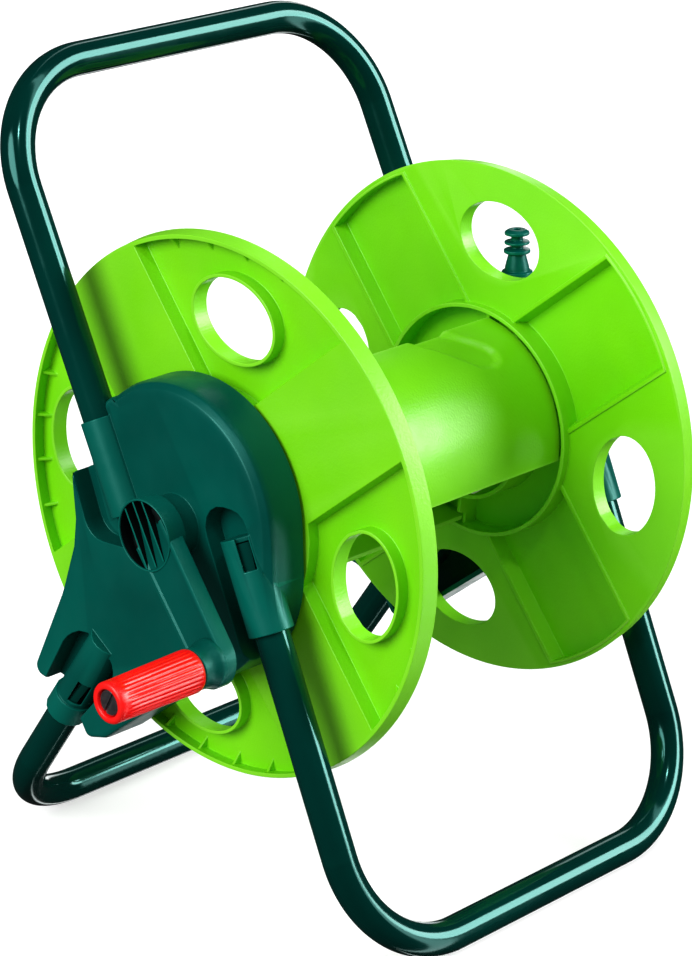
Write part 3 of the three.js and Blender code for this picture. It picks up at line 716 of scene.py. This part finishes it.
def crank_hub(bm):
    """The hollow hub with its fins, and the shaft behind it."""
    lathe(bm, [
        (HUB_BACK, SHAFT_R - 1),
        (HUB_BACK, HUB_R - 1),
        (HUB_BACK - 0.5, HUB_R - 0.5),
        (HUB_FACE + 0.8, HUB_R),
        (HUB_FACE + 0.2, HUB_R - 0.2),
        (HUB_FACE, HUB_R - 0.6),
        (HUB_FACE + 0.2, HUB_R - 1.1),
        (HUB_FACE + 0.8, HUB_R - 1.3),
        (HUB_FACE + HUB_DEPTH, HUB_R - 1.8),
        (HUB_FACE + HUB_DEPTH, SHAFT_R - 1),
    ], HUB_SIDES)
    for first, second in FINS:
        hub_fin(bm, first, second)
    lathe(bm, [
        (HUB_BACK - 2, SHAFT_BORE_R),
        (HUB_BACK - 2, SHAFT_R),
        (SHAFT_END, SHAFT_R),
        (SHAFT_END, SHAFT_BORE_R),
    ], SHAFT_SIDES)


def crank_elbow(bm):
    """The arm's round end, and a wide fillet up to the boss that the grip turns on."""
    elbow = ARM_FRONT - ARM_RISE
    lathe(bm, [
        (elbow + 4, ARM_TIP - 1),
        (elbow + 1.5, ARM_TIP),
        (elbow - 1, ARM_TIP - 0.2),
        (elbow - 2.5, ARM_TIP - 0.7),
        (elbow - 4, ARM_TIP - 1.3),
        (elbow - 5.5, BOSS_R + 0.6),
        (elbow - 7.5, BOSS_R + 0.2),
        (GRIP_FROM + 1, BOSS_R),
        (GRIP_FROM + 0.4, BOSS_R - 0.5),
        (GRIP_FROM + 0.4, 5),
    ], BOSS_SIDES, (ELBOW.y, ELBOW.z))


def deep_in_hub(point):
    """Whether a point in the row's frame is on the hub's inner wall, floor or fins."""
    place = (point - AXLE) / MM
    return HUB_FACE + 1 < place.x < HUB_BACK - 1 and math.hypot(place.y, place.z) < HUB_R - 1.2


def crank_arm():
    """The crank in one moulding. The inside of its hub gets a darker material, as painted shade."""
    bm = bmesh.new()
    crank_hub(bm)
    loft(bm, [arm_ring(inset, depth) for inset, depth in ARM_SECTION])
    crank_elbow(bm)
    piece = drawn_piece("crank_arm_moulded", bm, "crank_arm", 30)
    # Painted shade: faces deep in the hub take the near-black material, standing in for the shade of a
    # deeper hollow.
    piece.data.materials.append(painted_hub_shade())
    for face in piece.data.polygons:
        if deep_in_hub(face.center):
            face.material_index = 1


def fluted_ring(x, r, depth):
    """A ring of the grip, with its flutes cut to a share of their full depth."""
    sides = FLUTES * FLUTE_POINTS
    points = []
    for i in range(sides):
        angle = 2 * math.pi * i / sides
        wave = 0.5 - 0.5 * math.cos(FLUTES * angle)
        radius = r - FLUTE_DEPTH * depth * wave ** 2
        points.append(Vector((x, ELBOW.y + radius * math.sin(angle), ELBOW.z + radius * math.cos(angle))))
    return points


def crank_grip():
    """The grip: a fluted sleeve with a smooth lip at its outer end, drawn as [x, r, flute depth]."""
    rows = [
        (GRIP_FROM, GRIP_BORE, 0),
        (GRIP_FROM, GRIP_R - 1.2, 0),
        (GRIP_FROM - 0.5, GRIP_R - 0.3, 0),
        (GRIP_FROM - 1.6, GRIP_R, 0),
        (GRIP_FROM - 3, GRIP_R, 0.3),
    ]
    for step in range(TAPER_STEPS):
        along = step / TAPER_STEPS
        x = GRIP_FROM - 5 - TAPER_LENGTH * along
        rows.append((x, GRIP_R + (GRIP_TIP_R - GRIP_R) * along, 1))
    rows += [
        (GRIP_TO + 8, GRIP_TIP_R, 1),
        (GRIP_TO + 6.4, GRIP_TIP_R, 0.3),
        (GRIP_TO + 5, GRIP_TIP_R, 0),
        (GRIP_TO + 1.6, GRIP_TIP_R, 0),
        (GRIP_TO + 0.5, GRIP_TIP_R - 0.5, 0),
        (GRIP_TO, GRIP_TIP_R - 1.6, 0),
        (GRIP_TO, GRIP_SEAT + 0.5, 0),
        (GRIP_TO + 0.5, GRIP_SEAT, 0),
        (GRIP_TO + 4, GRIP_SEAT, 0),
        (GRIP_TO + 4, GRIP_BORE, 0),
    ]
    bm = bmesh.new()
    loft(bm, [fluted_ring(*row) for row in rows], closed=True)
    drawn_piece("crank_grip_fluted", bm, "crank_grip", 50)


# ---- Build -------------------------------------------------------------------------------

for tube in TUBES:
    stand_tube(tube)
drum_shell("drum_shell_front", PHASE, has_trough=True)
drum_shell("drum_shell_rear", PHASE + 180, has_trough=False)
crank_arm()
crank_grip()

DRAWN = {"crank_arm", "crank_grip", "drum_shell_front", "drum_shell_rear", *TUBES}
for node in frame["nodes"]:
    if node not in DRAWN:
        widths = [width for start, width in EDGES.items() if node.startswith(start)]
        moulded(node, widths[0] if widths else OTHER_EDGES)

# ---- Floor, light and camera -------------------------------------------------------------


def floor():
    """A wide white floor under the reel. It sends no light or reflection back to the reel."""
    bm = bmesh.new()
    bmesh.ops.create_grid(bm, x_segments=1, y_segments=1, size=FLOOR_SIZE)
    mesh = bpy.data.meshes.new("floor")
    bm.to_mesh(mesh)
    bm.free()
    white = bpy.data.materials.new("floor_white")
    white.use_nodes = True
    shader = white.node_tree.nodes["Principled BSDF"]
    shader.inputs["Base Color"].default_value = (FLOOR_GREY, FLOOR_GREY, FLOOR_GREY, 1)
    shader.inputs["Roughness"].default_value = 0.9
    shader.inputs["Emission Color"].default_value = (1, 1, 1, 1)
    shader.inputs["Emission Strength"].default_value = FLOOR_GLOW
    mesh.materials.append(white)
    obj = bpy.data.objects.new("floor", mesh)
    obj.visible_glossy = False
    obj.visible_diffuse = False
    bpy.context.scene.collection.objects.link(obj)


def soft_light(name, towards, strength, spread):
    """A distant soft light. It lights everything evenly, and shows as a streak on gloss."""
    light = bpy.data.lights.new(name, "SUN")
    light.energy = strength
    light.angle = math.radians(spread)
    obj = bpy.data.objects.new(name, light)
    obj.rotation_euler = (-Vector(towards)).to_track_quat("-Z", "Y").to_euler()
    bpy.context.scene.collection.objects.link(obj)


def world_light():
    """An even white surround. Gloss reflects it dimmer, with tall bright strips at some azimuths."""
    world = bpy.data.worlds.new("studio")
    world.use_nodes = True
    tree = world.node_tree
    background = tree.nodes["Background"]
    background.inputs["Color"].default_value = (1, 1, 1, 1)

    def math_node(operation, first, second):
        node = tree.nodes.new("ShaderNodeMath")
        node.operation = operation
        for value, socket in zip((first, second), node.inputs):
            if isinstance(value, (int, float)):
                socket.default_value = value
            else:
                tree.links.new(value, socket)
        return node.outputs["Value"]

    parts = tree.nodes.new("ShaderNodeSeparateXYZ")
    tree.links.new(tree.nodes.new("ShaderNodeTexCoord").outputs["Generated"], parts.inputs["Vector"])
    azimuth = math_node("ARCTAN2", parts.outputs["Y"], parts.outputs["X"])
    gloss = GLOSS_AMBIENT
    for centre, half_width, brightness in STRIPS:
        away = math_node("ABSOLUTE", math_node("SUBTRACT", azimuth, math.radians(centre)), 0)
        inside = math_node("LESS_THAN", away, math.radians(half_width))
        gloss = math_node("ADD", gloss, math_node("MULTIPLY", inside, brightness))
    is_gloss = tree.nodes.new("ShaderNodeLightPath").outputs["Is Glossy Ray"]
    extra = math_node("MULTIPLY", is_gloss, math_node("SUBTRACT", gloss, AMBIENT))
    tree.links.new(math_node("ADD", extra, AMBIENT), background.inputs["Strength"])
    bpy.context.scene.world = world


def camera():
    """The camera, at the viewing angle of the photograph."""
    azimuth = math.radians(CAMERA_AZIMUTH)
    elevation = math.radians(CAMERA_ELEVATION)
    forward = Vector((
        -math.sin(azimuth) * math.cos(elevation),
        math.cos(azimuth) * math.cos(elevation),
        -math.sin(elevation),
    ))
    level = forward.cross(Vector((0, 0, 1))).normalized()
    right = Matrix.Rotation(-math.radians(CAMERA_ROLL), 3, forward) @ level
    up = right.cross(forward)
    data = bpy.data.cameras.new("camera")
    data.lens = CAMERA_LENS
    data.sensor_width = SENSOR_WIDTH
    data.clip_end = 100
    obj = bpy.data.objects.new("camera", data)
    turn = Matrix((right, up, -forward)).transposed().to_4x4()
    obj.matrix_world = Matrix.Translation(AXLE + CAMERA_AT * MM) @ turn
    bpy.context.scene.collection.objects.link(obj)
    bpy.context.scene.camera = obj


floor()
for name, (towards, strength, spread) in LIGHTS.items():
    soft_light(name, towards, strength, spread)
world_light()
camera()
bpy.context.scene.view_settings.view_transform = "Standard"
bpy.context.scene.view_settings.look = "Medium High Contrast"
